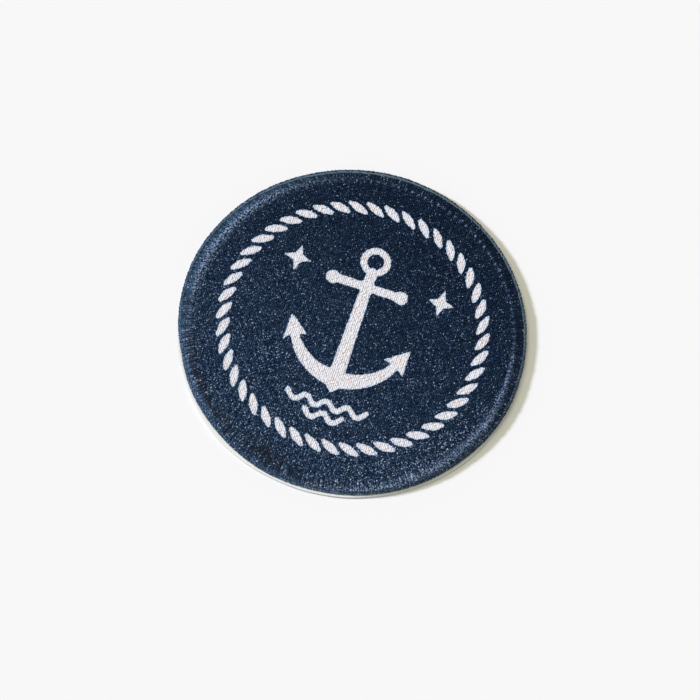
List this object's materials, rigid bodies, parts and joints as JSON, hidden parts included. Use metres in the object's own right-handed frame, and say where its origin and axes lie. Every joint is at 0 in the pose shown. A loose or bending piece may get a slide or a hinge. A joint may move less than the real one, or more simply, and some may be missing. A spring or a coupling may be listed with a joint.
{
  "type": "clothing patch",
  "caption": "Round cloth patch that lies flat: a fully stitched, printed face with a raised wrapped border, fixed to a pale backing.",
  "frame": {"origin": "middle of the back face, which lies on the surface: the centre of the part's box, at its base", "axes": "+Z out of the stitched face, +Y towards the top of the printed design, +X to the design's right"},
  "size_m": [0.075, 0.0754, 0.0022],
  "materials": {
    "backing_felt": "pale pressed backing, matt, with a cut edge",
    "printed_stitching": "fine polyester fill stitches, printed navy with an off-white design, with small glints",
    "border_thread": "dense navy border threads laid across the rim, with a soft sheen along their crest"
  },
  "bodies": {
    "root": {"backing": "backing_felt", "field": "printed_stitching", "border": "border_thread"}
  },
  "joints": []
}
